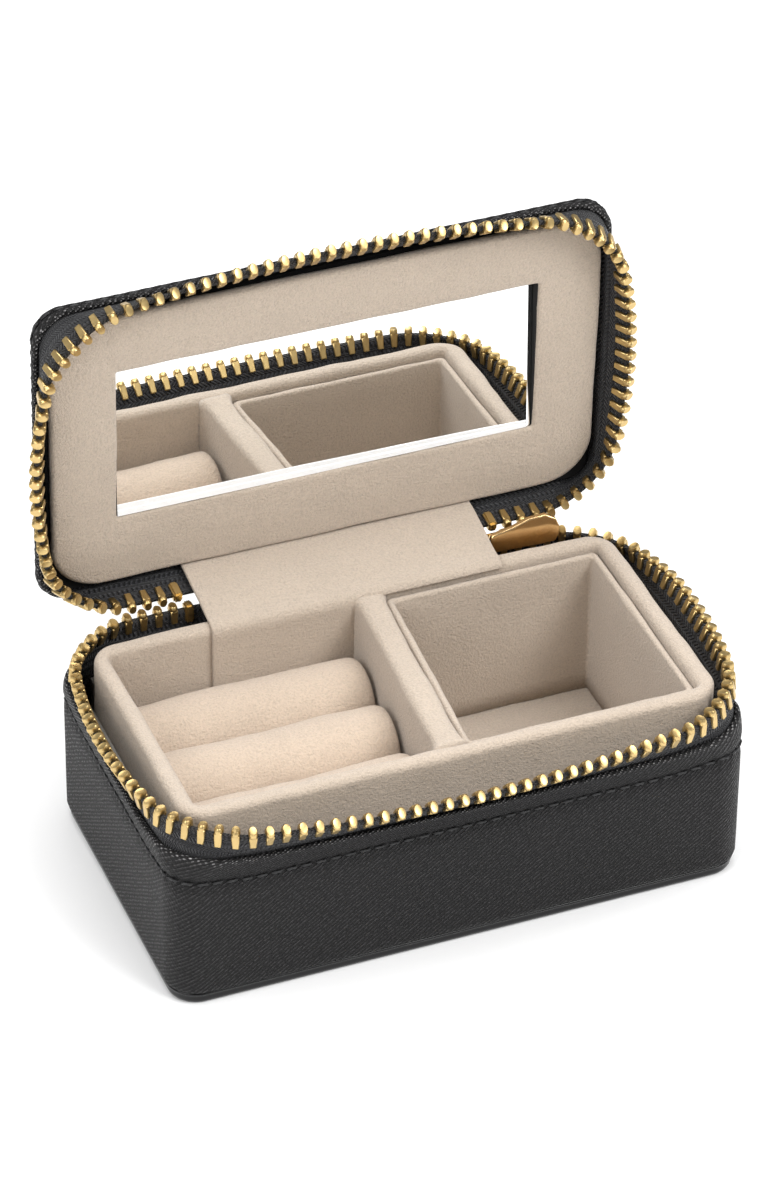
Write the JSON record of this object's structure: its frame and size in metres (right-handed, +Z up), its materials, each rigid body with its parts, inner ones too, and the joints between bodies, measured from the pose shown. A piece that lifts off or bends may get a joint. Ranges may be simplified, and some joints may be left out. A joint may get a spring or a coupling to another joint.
{
  "type": "travel jewelry case",
  "caption": "Small zip-around jewelry case, open, with a mirror in the lid, a lined tray split by a divider into ring rolls and an open compartment.",
  "frame": {"origin": "centre of the underside of the base, on the surface the case rests on", "axes": "+X to the right and +Y to the back when facing the open case, +Z up; the hinge line runs along X at the back"},
  "size_m": [0.1062, 0.0741, 0.0996],
  "materials": {
    "leatherette": "satin, fine diagonal grain",
    "bottom_leatherette": "satin with a glossy painted edge",
    "thread": "twisted sewing thread",
    "zip_tape": "herringbone woven tape",
    "zip_brass": "polished",
    "slider_brass": "polished",
    "suede": "short brushed nap",
    "roll_suede": "short brushed nap over foam",
    "foam": "open cell foam",
    "greyboard": "pressed paper board",
    "mirror_glass": "clear silvered glass"
  },
  "bodies": {
    "base": {"base_bottom_plate": "bottom_leatherette", "base_leather_cover": "leatherette", "hinge_panel": "leatherette", "base_edge_stitching": "thread", "base_zip_tape": "zip_tape", "base_zip_teeth": "zip_brass", "base_zip_stops": "zip_brass", "hinge_flap": "suede", "tray_front_wall": "suede", "tray_back_wall": "suede", "tray_left_wall": "suede", "tray_right_wall": "suede", "tray_floor": "suede", "tray_divider": "suede", "liner_left_wall": "suede", "liner_front_wall": "suede", "liner_back_wall": "suede", "liner_right_wall": "suede", "liner_floor_pad": "suede", "ring_roll_front": "roll_suede", "ring_roll_middle": "roll_suede", "ring_roll_back": "roll_suede", "ring_roll_foam_cores": "foam", "base_floor_board": "greyboard", "base_front_board": "greyboard", "base_back_board": "greyboard", "base_left_board": "greyboard", "base_right_board": "greyboard"},
    "lid": {"lid_leather_cover": "leatherette", "lid_edge_stitching": "thread", "lid_zip_tape": "zip_tape", "lid_zip_teeth": "zip_brass", "lid_zip_stops": "zip_brass", "lid_lining_panel": "suede", "lid_mirror_frame": "foam", "lid_board": "greyboard", "lid_mirror": "mirror_glass"},
    "slider": {"slider_body": "slider_brass", "slider_bail": "slider_brass"},
    "pull": {"pull_link": "slider_brass", "pull_tab": "slider_brass"}
  },
  "joints": [
    {"name": "lid_hinge", "type": "hinge", "parent": "base", "child": "lid", "pos_m": [0, 0.0282, 0.0364], "axis": [1, 0, 0], "range_deg": [-12, 88], "deforming": ["hinge_panel", "hinge_flap"]},
    {"name": "slider_slide", "type": "slide", "parent": "base", "child": "slider", "axis": [1, 0, 0], "range_m": [0, 0.003]},
    {"name": "pull_hinge", "type": "hinge", "parent": "slider", "child": "pull", "pos_m": [0, 0.0315, 0.0325], "axis": [1, 0, 0], "range_deg": [0, 75]}
  ]
}
